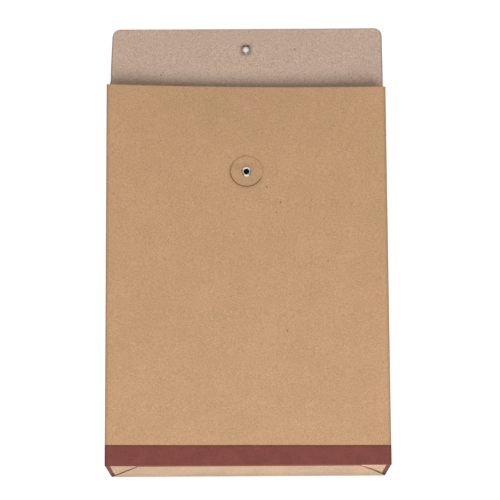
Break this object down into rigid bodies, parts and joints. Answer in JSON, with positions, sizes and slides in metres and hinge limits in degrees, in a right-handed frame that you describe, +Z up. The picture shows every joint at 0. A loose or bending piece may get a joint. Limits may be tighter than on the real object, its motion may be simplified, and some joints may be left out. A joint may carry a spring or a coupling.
{
  "type": "expanding envelope",
  "caption": "Kraft expanding document envelope with a folding square base bound in cloth tape, gusseted sides, and a fold-over flap closed by string between two eyeleted discs.",
  "frame": {"origin": "on the table under the middle of the whole envelope", "axes": "+X across the envelope, +Y from the base to the flap, +Z up out of the front panel as it lies on its back"},
  "size_m": [0.24, 0.3918, 0.0262],
  "materials": {
    "kraft": "matt kraft board with fine fibre",
    "grey_ply": "matt grey-beige inner ply with fine speckle",
    "cloth_tape": "woven maroon bookbinding cloth",
    "nickel": "bright nickel plate",
    "disc_board": "pressed kraft board"
  },
  "bodies": {
    "back": {"back_panel": "kraft", "back_lining": "grey_ply", "left_rear_hem": "kraft", "right_rear_hem": "kraft", "flap_crease": "kraft"},
    "base": {"base_back_fold": "kraft", "base_panel": "kraft", "left_corner_tab": "kraft", "right_corner_tab": "kraft", "base_glue_flap": "kraft", "base_front_tape": "cloth_tape", "base_left_tape": "cloth_tape", "base_right_tape": "cloth_tape"},
    "front": {"front_panel": "kraft", "front_lining": "grey_ply", "left_front_hem": "kraft", "right_front_hem": "kraft", "front_tape": "cloth_tape", "front_eyelet": "nickel"},
    "left_rear": {"left_rear_gusset": "kraft", "left_rear_tape": "cloth_tape"},
    "right_rear": {"right_rear_gusset": "kraft", "right_rear_tape": "cloth_tape"},
    "left_front": {"left_front_gusset": "kraft", "left_front_tape": "cloth_tape"},
    "right_front": {"right_front_gusset": "kraft", "right_front_tape": "cloth_tape"},
    "flap": {"flap_panel": "kraft", "flap_lining": "grey_ply", "flap_eyelet": "nickel"},
    "front_disc": {"front_disc": "disc_board"},
    "flap_disc": {"flap_disc": "disc_board"}
  },
  "joints": [
    {"name": "base_fold", "type": "hinge", "parent": "back", "child": "base", "pos_m": [0, -0.19483, 0.00125], "axis": [1, 0, 0], "range_deg": [-44.11, 33]},
    {"name": "front_fold", "type": "hinge", "parent": "base", "child": "front", "pos_m": [0, -0.17636, 0.02489], "axis": [1, 0, 0], "range_deg": [-34.69, 46.33]},
    {"name": "left_rear_fold", "type": "hinge", "parent": "back", "child": "left_rear", "pos_m": [-0.1181, 0, 0.00125], "axis": [0, -1, 0], "range_deg": [-47.2, 35.34]},
    {"name": "right_rear_fold", "type": "hinge", "parent": "back", "child": "right_rear", "pos_m": [0.1181, 0, 0.00125], "axis": [0, 1, 0], "range_deg": [-47.2, 35.34]},
    {"name": "left_front_fold", "type": "hinge", "parent": "front", "child": "left_front", "pos_m": [-0.11935, -0.17638, 0.02459], "axis": [0, 0.999, -0.0436], "range_deg": [-47.2, 35.34]},
    {"name": "right_front_fold", "type": "hinge", "parent": "front", "child": "right_front", "pos_m": [0.11935, -0.17638, 0.02459], "axis": [0, -0.999, 0.0436], "range_deg": [-47.2, 35.34]},
    {"name": "flap_fold", "type": "hinge", "parent": "back", "child": "flap", "pos_m": [0, 0.15708, 0.0074], "axis": [1, 0, 0], "range_deg": [0, 175.5], "deforming": ["flap_crease"]},
    {"name": "front_disc_spin", "type": "hinge", "parent": "front", "child": "front_disc", "pos_m": [0, 0.06944, 0.01511], "axis": [0, 0.0436, 0.999], "continuous": true},
    {"name": "flap_disc_spin", "type": "hinge", "parent": "flap", "child": "flap_disc", "pos_m": [0, 0.17809, 0.00205], "axis": [0, 0.0349, -0.9994], "continuous": true}
  ],
  "couplings": [
    {"joint": "front_fold", "follows": "base_fold", "ratio": -1.0481},
    {"joint": "left_rear_fold", "follows": "base_fold", "ratio": 1.0678},
    {"joint": "right_rear_fold", "follows": "base_fold", "ratio": 1.0678},
    {"joint": "left_front_fold", "follows": "base_fold", "ratio": 1.0678},
    {"joint": "right_front_fold", "follows": "base_fold", "ratio": 1.0678}
  ]
}
